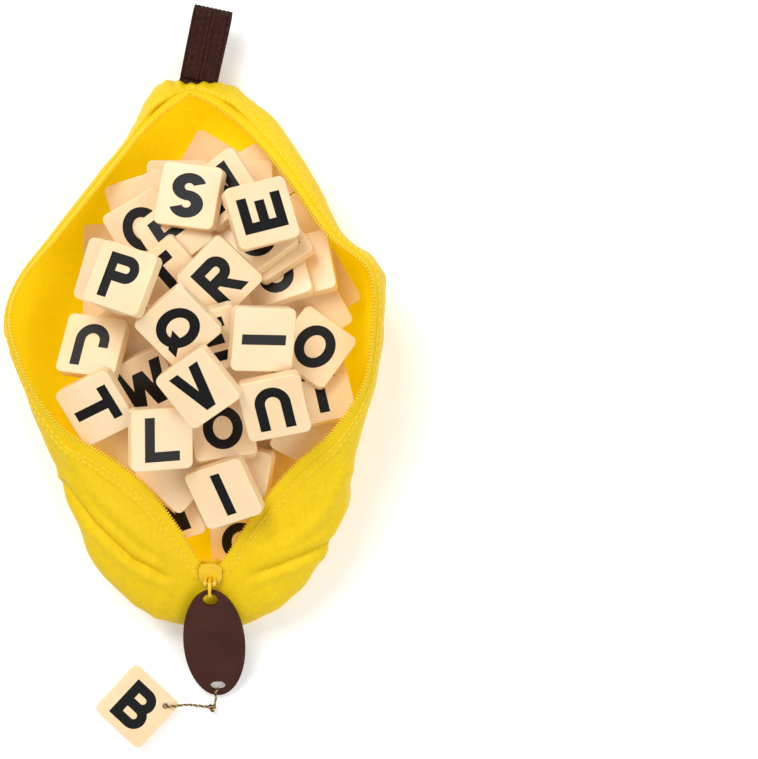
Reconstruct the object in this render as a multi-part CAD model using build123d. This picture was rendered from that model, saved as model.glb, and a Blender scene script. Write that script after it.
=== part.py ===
from build123d import *
import math
import os

import numpy as np

# A soft zipped pouch for word game tiles, lying open on its flat base and heaped with tiles.
# Millimetres. +Z is up, +Y points to the webbing loop at the stem end, -Y to the nose with the slider.
# The origin is the centre of the base panel's underside.

# ---------------------------------------------------------------- driving dimensions
pouch_width = 156.0          # across the widest part of the fabric
pouch_length = 226.0         # stem end to nose end, fabric only
mouth_height = 63.0          # zip coil above the table at the widest part
base_width = 122.0
base_length = 206.0
fabric_wall = 1.2
lining_wall = 0.5
lining_gap = 0.3             # between the fabric and its lining
stitch_gap = 0.25            # between pieces sewn edge to edge
tape_gap = 0.6               # from the fabric's edge to the zip tape sewn beside it
seam_gap = 0.3               # between neighbouring moving pieces

tape_width = 5.0             # zip tape that shows past the fabric's edge, coil included
tape_wall = 0.6
coil_width = 1.6
coil_height = 1.5
bottom_stop_width = 3.4
bottom_stop_length = 1.3
bottom_stop_height = 0.6

slider_width = 9.5
slider_length = 8.5
slider_plate = 1.0
slider_pitch = 18.0          # degrees, the slope of the lips at the nose
slider_clearance = 1.5       # above the coil, for the bend of the lips
slider_under_clearance = 1.3 # below the coil, past the lining
slider_forward = 1.2         # the plates' middle, from the zip's corner towards the open zip
slider_travel = 8.0
wedge_start = 1.8            # from the zip's corner to the wedge's thin end
wedge_length = 2.4
wedge_thin = 1.4
wedge_thick = 3.6
lug_wall = 1.2
lug_gap = 2.6
lug_length = 2.6
pin_diameter = 1.2

link_wire = 1.3
link_inner_length = 5.4
link_inner_height = 4.4
link_slope = 20.0            # degrees down from the pin towards the tag
link_play = 0.1
pin_height = link_inner_height / 2 + link_wire + link_play   # above the slider's upper plate

tag_length = 53.4
tag_width = 25.5
tag_thickness = 1.6
tag_turn = 2.6               # degrees, the lower end to the right
tag_upper_hole_inset = 4.5
tag_upper_hole_radius = 3.2
tag_play = 0.6               # between the link's wire and the tag
tag_lower_hole_inset = 4.8
tag_lower_hole_length = 6.4
tag_lower_hole_width = 4.6
tag_edge = 0.4
table_gap = 0.4              # under the tag's lower end

tile_side = 25.4
tile_thickness = 5.6
tile_corner = 2.6
tile_edge = 0.5
tile_gap = 0.25              # least gap between two tiles of the heap
wall_gap = 0.8               # least gap between a tile's corner and the lining
letter_height = 18.2
letter_width = 14.4
letter_stroke = 4.1
letter_depth = 0.4

hang_tile_x = -32.2
hang_tile_y = -148.4
hang_tile_turn = -43.0
hang_hole_radius = 1.3
hang_hole_inset = 4.8        # from the corner, along the diagonal, less the corner's rounding
cord_diameter = 1.2
knot_radius = 1.9

webbing_width = 15.6
webbing_thickness = 1.3
loop_length = 31.0
loop_gap = 7.0
loop_lean = 12.0             # degrees clockwise from +Y
loop_x = -6.2
loop_height = 15.0
tail_length = 5.0
tail_outside = 0.8           # of the tail, past the fabric

# ---------------------------------------------------------------- ribs of the side panels
# One row for each rib of a side panel, from the stem end round to the nose. The belly is the widest line
# of the panel and the lip is the line of the zip coil. x is a share of half the pouch's width, y of half
# its length, z of the mouth's height.
left_ribs = [
    # belly x, y, z       lip x, y, z
    (-0.11, 0.980, 0.19, -0.110, 0.930, 0.40),
    (-0.23, 0.975, 0.20, -0.190, 0.885, 0.44),
    (-0.33, 0.900, 0.26, -0.280, 0.830, 0.50),
    (-0.44, 0.770, 0.36, -0.385, 0.750, 0.60),
    (-0.62, 0.590, 0.54, -0.560, 0.580, 0.79),
    (-0.81, 0.410, 0.67, -0.750, 0.400, 0.94),
    (-0.965, 0.26, 0.75, -0.915, 0.255, 0.985),
    (-1.030, 0.13, 0.78, -0.985, 0.125, 1.000),
    (-1.005, 0.00, 0.77, -0.955, 0.000, 0.990),
    (-0.915, -0.17, 0.73, -0.855, -0.165, 0.950),
    (-0.82, -0.350, 0.64, -0.700, -0.290, 0.870),
    (-0.72, -0.560, 0.51, -0.500, -0.375, 0.760),
    (-0.58, -0.770, 0.37, -0.310, -0.485, 0.640),
    (-0.38, -0.935, 0.24, -0.165, -0.625, 0.520),
    (-0.17, -1.005, 0.16, -0.060, -0.750, 0.425),
    (0.00, -1.012, 0.15, 0.000, -0.812, 0.380),
]
right_ribs = [
    (-0.11, 0.980, 0.19, -0.110, 0.930, 0.40),
    (0.030, 0.975, 0.20, -0.020, 0.900, 0.43),
    (0.190, 0.905, 0.29, 0.115, 0.835, 0.51),
    (0.345, 0.825, 0.38, 0.240, 0.750, 0.62),
    (0.540, 0.620, 0.56, 0.410, 0.610, 0.79),
    (0.640, 0.485, 0.67, 0.545, 0.475, 0.90),
    (0.715, 0.405, 0.72, 0.645, 0.390, 0.95),
    (0.865, 0.310, 0.76, 0.810, 0.300, 0.985),
    (0.905, 0.200, 0.77, 0.855, 0.200, 1.000),
    (0.895, 0.080, 0.77, 0.850, 0.085, 1.000),
    (0.855, -0.130, 0.73, 0.810, -0.110, 0.950),
    (0.770, -0.360, 0.61, 0.640, -0.285, 0.850),
    (0.665, -0.605, 0.47, 0.440, -0.405, 0.710),
    (0.460, -0.865, 0.31, 0.245, -0.565, 0.560),
    (0.170, -1.005, 0.16, 0.085, -0.735, 0.435),
    (0.000, -1.012, 0.15, 0.000, -0.812, 0.380),
]
wall_rows = 8                # points up a rib from the base to the fabric's edge
fine_rows = 60               # points of each of a rib's two arcs
rib_start_angle = 24.0       # degrees of the lower arc that the flat base takes the place of
rib_end_angle = 62.0         # degrees of the upper arc at the lip
tangent_step = 0.05          # either side of a point, for the rib's direction there


def smooth_rows(rows, steps):
    """A Catmull-Rom curve through the rows, with the given number of steps between two of them."""
    rows = np.array(rows, dtype=float)
    ends = np.vstack([2 * rows[0] - rows[1], rows, 2 * rows[-1] - rows[-2]])
    curve = []
    for i in range(len(rows) - 1):
        a, b, c, d = ends[i], ends[i + 1], ends[i + 2], ends[i + 3]
        for k in range(steps):
            t = k / steps
            bend = 2 * a - 5 * b + 4 * c - d + t * (3 * (b - c) + d - a)
            curve.append(b + 0.5 * t * (c - a + t * bend))
    curve.append(rows[-1])
    return np.array(curve)


def rib_line(row):
    """Close points up one rib: one arc from the base to the belly, and one from there to the lip."""
    half = np.array([pouch_width / 2, pouch_length / 2, mouth_height])
    belly = np.array(row[:3]) * half
    lip = np.array(row[3:]) * half
    foot = np.array([row[0] * base_width / 2, row[1] * base_length / 2, fabric_wall])
    start = math.radians(rib_start_angle)
    points = []
    for k in range(fine_rows):
        angle = start + (math.pi / 2 - start) * k / fine_rows
        out = (math.sin(angle) - math.sin(start)) / (1 - math.sin(start))
        up = (math.cos(start) - math.cos(angle)) / math.cos(start)
        points.append(foot + (belly - foot) * np.array([out, out, up]))
    end = math.radians(rib_end_angle)
    for k in range(fine_rows + 1):
        angle = end * k / fine_rows
        inward = (1 - math.cos(angle)) / (1 - math.cos(end))
        points.append(belly + (lip - belly) * np.array([inward, inward, math.sin(angle) / math.sin(end)]))
    return np.array(points)


def along_line(points, distances):
    """Points of a line at the given distances from its start."""
    steps = np.linalg.norm(np.diff(points, axis=0), axis=1)
    travelled = np.concatenate([[0.0], np.cumsum(steps)])
    return np.array([[np.interp(d, travelled, points[:, axis]) for axis in range(3)] for d in distances])


def panel_grid(ribs, steps=2):
    """Points and inward normals of a side, ribs by rows; the last rows are the tape and the coil."""
    grid = []
    upward = []
    for row in smooth_rows(ribs, steps):
        line = rib_line(row)
        length = np.linalg.norm(np.diff(line, axis=0), axis=1).sum()
        fabric_end = length - tape_width
        distances = list(np.linspace(0.0, fabric_end, wall_rows))
        distances += [fabric_end + tape_gap, length - coil_width - stitch_gap, length - coil_width, length]
        distances = np.array(distances)
        grid.append(along_line(line, distances))
        upward.append(along_line(line, distances + tangent_step) - along_line(line, distances - tangent_step))
    grid = np.array(grid)
    outward = np.sign(grid[len(grid) // 2, 0, 0])
    grid[0, :, 0] += outward * stitch_gap / 2
    grid[-1, :, 0] += outward * stitch_gap / 2
    across = np.gradient(grid, axis=0)
    across[0] = [np.sign(across[0, 0, 0]), 0.0, 0.0]
    across[-1] = [np.sign(across[-1, 0, 0]), 0.0, 0.0]
    normals = np.cross(across, upward)
    normals /= np.linalg.norm(normals, axis=2, keepdims=True)
    centre = np.array([0.0, 0.0, mouth_height / 2])
    return grid, normals * np.sign(np.sum(normals * (centre - grid)))


def strip(grid, normals, columns, rows, outer, inner):
    """A closed solid over part of a side, between two depths, straight between one row and the next."""
    part = slice(columns[0], columns[1] + 1)
    even_steps = list(np.linspace(0.0, 1.0, columns[1] + 1 - columns[0]))
    skins = []
    for depth in (outer, inner):
        lines = []
        for row in range(rows[0], rows[1] + 1):
            points = grid[part, row] + normals[part, row] * depth
            lines.append(Edge.make_spline([Vector(*p) for p in points], parameters=even_steps))
        skins.append(lines)
    faces = [Face.make_surface_from_curves(skins[0][0], skins[1][0]),
             Face.make_surface_from_curves(skins[0][-1], skins[1][-1])]
    for lines in skins:
        faces += [Face.make_surface_from_curves(low, high) for low, high in zip(lines, lines[1:])]
    for end in (0, 1):
        ends = [[line @ end for line in lines] for lines in skins]
        for k in range(rows[1] - rows[0]):
            faces.append(Face.make_surface_from_curves(
                Line(ends[0][k], ends[0][k + 1]), Line(ends[1][k], ends[1][k + 1])))
    return Solid(Shell(faces))


def moved(solid, origin, turn=0.0, pitch=0.0):
    """A solid drawn at the origin, pitched about X, turned about Z and then moved to its place."""
    return Pos(*origin) * Rot(0, 0, turn) * Rot(pitch, 0, 0) * solid


# ---------------------------------------------------------------- pouch
sides = {"left": panel_grid(left_ribs), "right": panel_grid(right_ribs)}
last_column = len(sides["left"][0]) - 1
lining_top = fabric_wall + lining_gap + lining_wall
lining_depth = fabric_wall + lining_gap
nose_lip = Vector(0, *sides["left"][0][-1, -1, 1:])
stem_belly_y = left_ribs[0][1] * pouch_length / 2
nodes = {}


def webbing_slot(clearance):
    """The space of the webbing's sewn tail through the seam at the stem end."""
    size = (webbing_width + 2 * clearance, tail_length, 2 * webbing_thickness + 2 * clearance)
    middle = (loop_x, stem_belly_y + tail_outside - tail_length / 2, loop_height)
    return moved(Box(*size), middle, turn=-loop_lean)


def outline_face(inset):
    """The base panel's outline, drawn in by the inset."""
    points = [row[0] for row in sides["left"][0]] + [row[0] for row in sides["right"][0][-2:0:-1]]
    middle = np.mean(points, axis=0)
    flat = []
    for point in points:
        reach = np.array(point[:2]) - middle[:2]
        flat.append(middle[:2] + reach * (1 - inset / np.linalg.norm(reach)))
    return make_face(Spline(*[Vector(x, y) for x, y in flat], periodic=True))


for side, (grid, normals) in sides.items():
    whole = (0, last_column)
    fabric = strip(grid, normals, whole, (0, wall_rows - 1), 0.0, fabric_wall)
    nodes[side + "_panel"] = fabric - webbing_slot(seam_gap)
    lining = strip(grid, normals, whole, (0, wall_rows - 1), lining_depth, lining_top)
    nodes[side + "_lining"] = lining - webbing_slot(seam_gap)
    tape_depth = (fabric_wall - tape_wall) / 2
    tape_rows = (wall_rows, wall_rows + 1)
    nodes[side + "_zip_tape"] = strip(grid, normals, whole, tape_rows, tape_depth, tape_depth + tape_wall)
    coil_rows = (wall_rows + 2, wall_rows + 3)
    coil_depth = (fabric_wall - coil_height) / 2
    nodes[side + "_zip_coil"] = strip(grid, normals, whole, coil_rows, coil_depth, coil_depth + coil_height)
stop_place = (sides["left"][0][-1, wall_rows] + sides["left"][0][-1, wall_rows + 1]) / 2
stop_centre = (0, stop_place[1] - bottom_stop_length / 2, stop_place[2] + bottom_stop_height / 2 + stitch_gap)
nodes["bottom_stop"] = moved(Box(bottom_stop_width, bottom_stop_length, bottom_stop_height), stop_centre)
nodes["base_panel"] = extrude(outline_face(0.0), fabric_wall)
nodes["base_lining"] = Pos(0, 0, lining_depth) * extrude(outline_face(2 * fabric_wall), lining_wall)
nodes["webbing_tail"] = webbing_slot(0.0)

# ---------------------------------------------------------------- webbing loop
# Drawn in its side view: X runs out from the seam and Y is up, and the strap is as wide as Z is long.
end_radius = loop_gap / 2 + webbing_thickness
root_radius = webbing_thickness + seam_gap / 2
root_centre = Pos(root_radius, 0)
end_centre = Pos(loop_length - end_radius, 0)
loop_outer = make_hull((root_centre * Circle(root_radius)).edges() + (end_centre * Circle(end_radius)).edges())
loop_inner = make_hull((root_centre * Circle(root_radius - webbing_thickness)).edges()
                       + (end_centre * Circle(loop_gap / 2)).edges())
strap = extrude(loop_outer - loop_inner, webbing_width / 2, both=True)
strap = Rot(0, 0, 90) * Rot(90, 0, 0) * strap
lean = math.radians(loop_lean)
loop_shift = tail_length / 2 + seam_gap
loop_base = (loop_x + loop_shift * math.sin(lean),
             stem_belly_y + tail_outside - tail_length / 2 + loop_shift * math.cos(lean), loop_height)
nodes["stem_loop"] = moved(strap, loop_base, turn=-loop_lean)

# ---------------------------------------------------------------- slider
# Drawn with the zip's corner at the origin, +Y along the open zip and +Z out of the fabric.
coil_top = (coil_height - fabric_wall) / 2
plate_low = coil_top + slider_clearance
plate_high = plate_low + slider_plate
under_high = -fabric_wall - coil_top - slider_under_clearance
under_low = under_high - slider_plate
plate_middle = slider_forward


def slider_plate_solid(bottom):
    """One of the slider's plates, with rounded corners."""
    face = RectangleRounded(slider_width, slider_length, slider_width * 0.3)
    plate = extrude(face, slider_plate)
    plate = fillet(plate.edges().group_by(Axis.Z)[-1], slider_plate * 0.3)
    return Pos(0, plate_middle, bottom) * plate


wedge_points = [(-wedge_thin / 2, wedge_start), (wedge_thin / 2, wedge_start),
                (wedge_thick / 2, wedge_start + wedge_length), (-wedge_thick / 2, wedge_start + wedge_length)]
wedge = Pos(0, 0, under_high) * extrude(make_face(Polyline(*wedge_points, close=True)), plate_low - under_high)
pin_y = plate_middle - slider_length / 2 + lug_length * 0.6
pin_z = plate_high + pin_height
lug_side = Rectangle(lug_length, pin_height, align=(Align.CENTER, Align.MIN))
lug_side += Pos(0, pin_height) * Circle(lug_length / 2)
lug_side -= Pos(0, pin_height) * Circle(pin_diameter / 2 + link_play)
lug = Rot(0, 0, 90) * Rot(90, 0, 0) * extrude(lug_side, lug_wall / 2, both=True)
lug_x = (lug_gap + lug_wall) / 2
slider = slider_plate_solid(plate_low) + slider_plate_solid(under_low) + wedge
for x in (-lug_x, lug_x):
    slider += Pos(x, pin_y, plate_high) * lug
pin_length = lug_gap + 2 * lug_wall
pin = Pos(0, pin_y, pin_z) * Rot(0, 90, 0) * Cylinder(pin_diameter / 2, pin_length)
nodes["slider_body"] = moved(slider, nose_lip, pitch=slider_pitch)
nodes["slider_pin"] = moved(pin, nose_lip, pitch=slider_pitch)
pin_centre = nodes["slider_pin"].center()

# ---------------------------------------------------------------- pull link
# A closed ring that stands on edge, round the pin and through the tag's upper hole.
ring_length = link_inner_length + 2 * link_wire
ring_height = link_inner_height + 2 * link_wire
ring_side = SlotOverall(ring_length, ring_height) - SlotOverall(link_inner_length, link_inner_height)
ring = extrude(ring_side, link_wire / 2, both=True)
ring = fillet(ring.edges(), link_wire * 0.3)
pin_to_far_wire = link_inner_length - pin_diameter / 2 - link_play + link_wire / 2
ring_middle = pin_to_far_wire - (link_inner_length + link_wire) / 2
ring = Rot(0, 0, -90) * Rot(90, 0, 0) * (Pos(ring_middle, 0) * ring)
nodes["pull_link"] = moved(ring, pin_centre, pitch=link_slope)
link_angle = math.radians(link_slope)
far_wire = pin_centre + Vector(0, -math.cos(link_angle), -math.sin(link_angle)) * pin_to_far_wire

# ---------------------------------------------------------------- pull tag
# Drawn flat with its upper hole at the origin and its length along -Y, then leant down to the table.
hole_past_wire = tag_upper_hole_radius - link_wire / 2 - tag_play
hole_to_end = tag_length - tag_upper_hole_inset
drop = far_wire.Z - table_gap - tag_thickness / 2
tag_slope = math.asin(drop / (hole_to_end + hole_past_wire))
tag_centre_y = tag_upper_hole_inset - tag_length / 2
tag_face = Pos(0, tag_centre_y) * Ellipse(tag_width / 2, tag_length / 2)
tag_face -= Circle(tag_upper_hole_radius)
lower_hole = Pos(0, tag_lower_hole_inset - hole_to_end)
tag_face -= lower_hole * SlotOverall(tag_lower_hole_length, tag_lower_hole_width)
tag = extrude(tag_face, tag_thickness / 2, both=True)
tag_plane = Pos(*far_wire) * Rot(0, 0, tag_turn) * Rot(math.degrees(tag_slope), 0, 0) * Pos(0, -hole_past_wire, 0)
nodes["pull_tag"] = tag_plane * tag
tag_bar = (tag_plane * Pos(0, (tag_upper_hole_radius + tag_upper_hole_inset) / 2, 0)).position
lower_hole_centre = (tag_plane * lower_hole).position

# ---------------------------------------------------------------- letters
cap = letter_height / 2
wide = letter_width / 2
stroke = letter_stroke


def bar(x, y, width, height):
    return Pos(x, y) * Rectangle(width, height)


def stem(x):
    return bar(x, 0, stroke, letter_height)


def slanted(low, high, width=letter_stroke * 1.1):
    """A slanting stroke between two points, cut level at both ends."""
    half = width / 2
    corners = [(low[0] - half, low[1]), (low[0] + half, low[1]), (high[0] + half, high[1]), (high[0] - half, high[1])]
    return make_face(Polyline(*corners, close=True))


def bowl(width, height):
    """A round band, wide from the middle and open nowhere."""
    return Ellipse(width, height) - Ellipse(width - stroke, height - stroke)


def half_bowl(x, y, width, height):
    """The right half of a band that springs from a stem."""
    radius = height / 2
    straight = width - radius
    outer = bar(x + straight / 2, y, straight, height) + Pos(x + straight, y) * Circle(radius)
    inner = bar(x + straight / 2, y, straight, height - 2 * stroke) + Pos(x + straight, y) * Circle(radius - stroke)
    return outer - inner


def letter_face(letter):
    """One letter of plain round strokes."""
    left, right = stroke / 2 - wide, wide - stroke / 2
    top, foot = cap - stroke / 2, stroke / 2 - cap
    arm = 2 * wide
    if letter == "I":
        return stem(0)
    if letter == "L":
        return stem(left) + bar(0, foot, arm, stroke)
    if letter == "T":
        return stem(0) + bar(0, top, arm, stroke)
    if letter in "EF":
        face = stem(left) + bar(0, top, arm, stroke) + bar(-stroke / 4, 0, arm - stroke / 2, stroke)
        return face + bar(0, foot, arm, stroke) if letter == "E" else face
    if letter == "H":
        return stem(left) + stem(right) + bar(0, 0, arm, stroke)
    if letter == "N":
        return stem(left) + stem(right) + slanted((right, -cap), (left, cap))
    if letter == "V":
        return slanted((0, -cap), (left, cap)) + slanted((0, -cap), (right, cap))
    if letter == "W":
        low, peak, outer = wide * 0.62, cap * 0.7, wide * 1.2
        half = slanted((low, -cap), (outer, cap)) + slanted((low, -cap), (0, peak))
        return half + slanted((-low, -cap), (-outer, cap)) + slanted((-low, -cap), (0, peak))
    if letter in "UJ":
        cut = bar(0, cap, arm * 2, letter_height)
        low = Pos(0, wide - cap) * (bowl(wide, wide) - bar(0, wide, arm * 2, arm))
        tall = cap * 2 - wide
        right_stem = bar(right, cap - tall / 2, stroke, tall)
        face = low + right_stem
        left_tall = tall if letter == "U" else stroke * 0.6
        return face + bar(left, wide - cap + left_tall / 2, stroke, left_tall)
    band = (letter_height + stroke) / 2
    if letter in "PR":
        face = stem(left) + half_bowl(left, cap - band / 2, arm - stroke / 2, band)
        return face + slanted((right, -cap), (left + stroke, 0)) if letter == "R" else face
    if letter == "B":
        upper = half_bowl(left, cap - band / 2, arm - stroke * 0.8, band)
        return stem(left) + upper + half_bowl(left, band / 2 - cap, arm - stroke / 2, band)
    if letter in "OCQ":
        face = bowl(wide * 1.12, cap)
        if letter == "C":
            face -= bar(wide, 0, wide * 1.5, cap * 0.85)
        if letter == "Q":
            face += slanted((wide * 0.9, -cap), (wide * 0.2, -cap * 0.25))
        return face
    if letter == "S":
        radius = (letter_height + stroke) / 4 - stroke / 2
        middle = radius
        upper = CenterArc((0, middle), radius, 20, 250)
        lower = CenterArc((0, -middle), radius, -160, 250)
        return scale(trace(upper, stroke) + trace(lower, stroke), by=(wide / (radius + stroke / 2), 1, 1))
    raise ValueError(letter)


# ---------------------------------------------------------------- tiles
def tile_solid(letter):
    """A tile about its own centre, with its letter sunk into the upper face."""
    body = extrude(RectangleRounded(tile_side, tile_side, tile_corner), tile_thickness / 2, both=True)
    body = fillet(body.edges().group_by(Axis.Z)[-1] + body.edges().group_by(Axis.Z)[0], tile_edge)
    if letter:
        body -= Pos(0, 0, tile_thickness / 2 - letter_depth) * extrude(letter_face(letter), letter_depth)
    return body


def tilted(spin, azimuth, tilt):
    """Turn about Z by the spin, then lean by the tilt about the level line at the azimuth."""
    a, b, c = math.radians(spin), math.radians(azimuth), math.radians(tilt)
    turn = np.array([[math.cos(a), -math.sin(a), 0], [math.sin(a), math.cos(a), 0], [0, 0, 1]])
    ux, uy = math.cos(b), math.sin(b)
    cross = np.array([[0, 0, uy], [0, 0, -ux], [-uy, ux, 0]])
    lean_by = np.eye(3) + math.sin(c) * cross + (1 - math.cos(c)) * cross @ cross
    return lean_by @ turn


def overlap_span(axes, half, others, other_halves, shift):
    """Rises of a box over each of the others between which the two overlap, at a level shift."""
    count = len(others)
    crosses = np.cross(axes.T[None, :, None, :], np.transpose(others, (0, 2, 1))[:, None, :, :])
    lines = np.concatenate([
        np.broadcast_to(axes.T, (count, 3, 3)), np.transpose(others, (0, 2, 1)), crosses.reshape(count, 9, 3)], axis=1)
    reach = np.abs(lines @ axes) @ half + np.einsum("nij,nj->ni", np.abs(lines @ others), other_halves)
    level = np.einsum("nij,nj->ni", lines[:, :, :2], shift)
    rise = lines[:, :, 2]
    steep = np.abs(rise) > 1e-6
    safe = np.where(steep, rise, 1.0)
    ends = np.stack([(-reach - level) / safe, (reach - level) / safe])
    low = np.where(steep, ends.min(axis=0), -1e9).max(axis=1)
    high = np.where(steep, ends.max(axis=0), 1e9).min(axis=1)
    apart = (~steep & (np.abs(level) > reach + 1e-9)).any(axis=1)
    return np.where(apart, 1.0, low), np.where(apart, -1.0, high)


level_step = 2.0
angle_step = 3.0
half_turn = 180.0
cavity_levels = np.arange(0.0, mouth_height * 1.8, level_step)
cavity_angles = np.radians(np.arange(-half_turn, half_turn + angle_step, angle_step))


def cavity_radii():
    """How far the lining's inner face is from the Z axis, at each level and each angle."""
    lines = []
    for ribs in (left_ribs, right_ribs):
        grid, normals = panel_grid(ribs, 3)
        lines += list(grid[:, :wall_rows] + normals[:, :wall_rows] * lining_top)
    table = []
    for level in cavity_levels:
        ring = []
        for line in lines:
            heights = np.maximum.accumulate(line[:, 2])
            x = np.interp(level, heights, line[:, 0])
            y = np.interp(level, heights, line[:, 1])
            ring.append((math.atan2(y, x), math.hypot(x, y)))
        ring = np.array(sorted(ring))
        table.append(np.interp(cavity_angles, ring[:, 0], ring[:, 1], period=2 * math.pi))
    return np.array(table)


radii = cavity_radii()
rise_steps = np.arange(0.0, mouth_height * 1.4, 0.4)
tile_half = np.array([tile_side, tile_side, tile_thickness]) / 2
# Places on a tile's box that are held inside the lining: its corners and points along its edges.
edge_shares = np.linspace(-1, 1, 5)
rim_shares = np.array([(i, j, k) for i in edge_shares for j in edge_shares for k in (-1, 1)
                       if max(abs(i), abs(j)) == 1])


def lowest_inside(axes, x, y, start):
    """The lowest centre height, from the start up, with the tile's whole rim inside the lining."""
    corners = (rim_shares * tile_half) @ axes.T
    cx, cy = corners[:, 0] + x, corners[:, 1] + y
    reach = np.hypot(cx, cy) + wall_gap
    column = (np.degrees(np.arctan2(cy, cx)) + half_turn) / angle_step
    left_column = np.minimum(column.astype(int), len(cavity_angles) - 2)
    share = column - left_column
    by_level = radii[:, left_column] * (1 - share) + radii[:, left_column + 1] * share
    centres = start + rise_steps
    heights = centres[:, None] + corners[:, 2][None, :]
    place = np.clip(heights / level_step, 0, len(cavity_levels) - 2)
    row = place.astype(int)
    part = place - row
    index = np.arange(len(rim_shares))
    limit = by_level[row, index] * (1 - part) + by_level[row + 1, index] * part
    fits = ((reach <= limit) & (heights >= lining_top + tile_gap)).all(axis=1)
    return centres[np.argmax(fits)] if fits.any() else None


# Boxes that no tile may enter: the slider's way with its plates, and the free space at the stem end.
free_box_x = (-15.0, 5.0)
free_box_y = (80.0, 96.0)
free_box_z = (10.0, 34.0)
slider_way = slider_length + slider_travel
keep_out = [
    ((0.0, nose_lip.Y + slider_travel / 2, nose_lip.Z + 4.0), (slider_width / 2 + 1, slider_way / 2 + 1.5, 9.4)),
    ((np.mean(free_box_x), np.mean(free_box_y), np.mean(free_box_z)),
     (np.ptp(free_box_x) / 2, np.ptp(free_box_y) / 2, np.ptp(free_box_z) / 2)),
]
placed = []
box_half = np.array([tile_side + tile_gap, tile_side + tile_gap, tile_thickness + tile_gap]) / 2
lean_choices = [(0.0, 0.0)] + [(azimuth, tilt) for azimuth in range(0, 360, 30) for tilt in (4, 8, 13, 18, 24)]


def meets_keep_out(axes, x, y, height):
    """Whether a tile there would enter one of the boxes kept free."""
    middles = np.array([box[0] for box in keep_out])
    flat_axes = np.tile(np.eye(3), (len(keep_out), 1, 1))
    shift = np.array([x, y]) - middles[:, :2]
    low, high = overlap_span(axes, box_half, flat_axes, np.array([box[1] for box in keep_out]), shift)
    return bool(((low < height - middles[:, 2]) & (height - middles[:, 2] < high)).any())


def settled(x, y, spin):
    """The centre height and the axes of a tile dropped straight down, in the lean that brings it lowest."""
    best = None
    near = [tile for tile in placed if math.hypot(tile[1][0] - x, tile[1][1] - y) < 1.5 * tile_side]
    for azimuth, tilt in lean_choices:
        axes = tilted(spin, azimuth, tilt)
        start = lining_top
        if near:
            others = np.array([tile[2] for tile in near])
            shift = np.array([(x - tile[1][0], y - tile[1][1]) for tile in near])
            low, high = overlap_span(axes, box_half, others, np.tile(box_half, (len(near), 1)), shift)
            rests = [tile[1][2] + h for tile, l, h in zip(near, low, high) if h > l]
            start = max(rests + [start])
        height = lowest_inside(axes, x, y, start)
        if height is None or (best and height >= best[0]) or meets_keep_out(axes, x, y, height):
            continue
        best = (height, axes)
    return best


def settle(letter, x, y, spin):
    """Drop a tile at its place, or as near to it on the way to the pouch's middle as it fits."""
    for share in np.arange(1.0, 0.0, -draw_in_step):
        place = (x * places_wide * share, y * places_long * share)
        best = settled(*place, spin)
        if best:
            placed.append((letter, (*place, best[0]), best[1]))
            return


def flat_layer(height, turn_degrees, shift):
    """Tiles laid flat side by side at one level, on a grid with the given turn and shift."""
    axes = tilted(turn_degrees, 0.0, 0.0)
    pitch = tile_side + layer_spacing
    turn = math.radians(turn_degrees)
    reach = int(pouch_length / 2 / pitch) + 1
    tiles = []
    for i in range(-reach, reach + 1):
        for j in range(-reach, reach + 1):
            u, v = (i + shift) * pitch, (j + shift) * pitch
            x = u * math.cos(turn) - v * math.sin(turn)
            y = u * math.sin(turn) + v * math.cos(turn)
            low_enough = height < nose_fill + nose_fill_rise * (y - tile_side / math.sqrt(2) - nose_lip.Y)
            inside = lowest_inside(axes, x, y, height) == height
            if low_enough and inside and not meets_keep_out(axes, x, y, height):
                tiles.append(("", (x, y, height), axes))
    return tiles


# The tiles that show, from the lowest up: letter, x, y and spin. A blank has its letter on the face turned
# down. The places were read off the photograph for a pouch of this width and length, and keep their share.
places_wide = pouch_width / 156.0
places_long = pouch_length / 226.0
draw_in_step = 0.05
shown_tiles = [
    ("C", 12.0, -78.0, 3.0), ("N", -17.5, -66.0, 20.0), ("", 32.0, -50.0, 30.0), ("", -36.5, -42.0, 12.0),
    ("", 13.0, -50.5, -12.0), ("", -13.0, -49.0, 48.0), ("", 41.0, -33.0, 62.0), ("T", 45.0, -17.0, 12.0),
    ("", 42.0, 17.0, 28.0), ("O", 43.0, 1.0, -36.0),
    ("", 38.0, 34.0, 12.0), ("J", 27.7, 31.0, 18.0), ("E", 26.5, 43.0, -56.0), ("O", 20.2, 45.0, 38.0),
    ("", -27.0, 58.0, 18.0), ("C", -26.0, 49.0, 30.0), ("F", -12.4, 46.6, 35.0), ("N", 7.0, 64.0, 35.0),
    ("T", -14.8, 29.0, 40.0), ("R", 5.9, 28.3, 46.0), ("E", 3.0, 4.4, 17.0),
    ("I", 23.0, 4.4, 87.0), ("", -37.0, 4.0, 45.0), ("W", -26.4, -13.9, 25.0), ("Q", -9.5, 9.5, -49.0),
    ("J", -45.9, 1.2, 170.0), ("T", -43.5, -22.4, -62.0), ("O", 6.0, -32.0, 8.0),
    ("I", 7.0, -57.0, 21.0), ("L", -18.0, -35.0, 1.5), ("U", 27.7, -22.0, 192.0),
    ("", -37.0, 29.0, -19.0), ("P", -31.0, 27.5, -19.0), ("V", -1.5, -14.5, 36.0),
    ("S", -6.1, 61.0, -9.0), ("E", 22.5, 53.5, 106.0),
]

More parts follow.
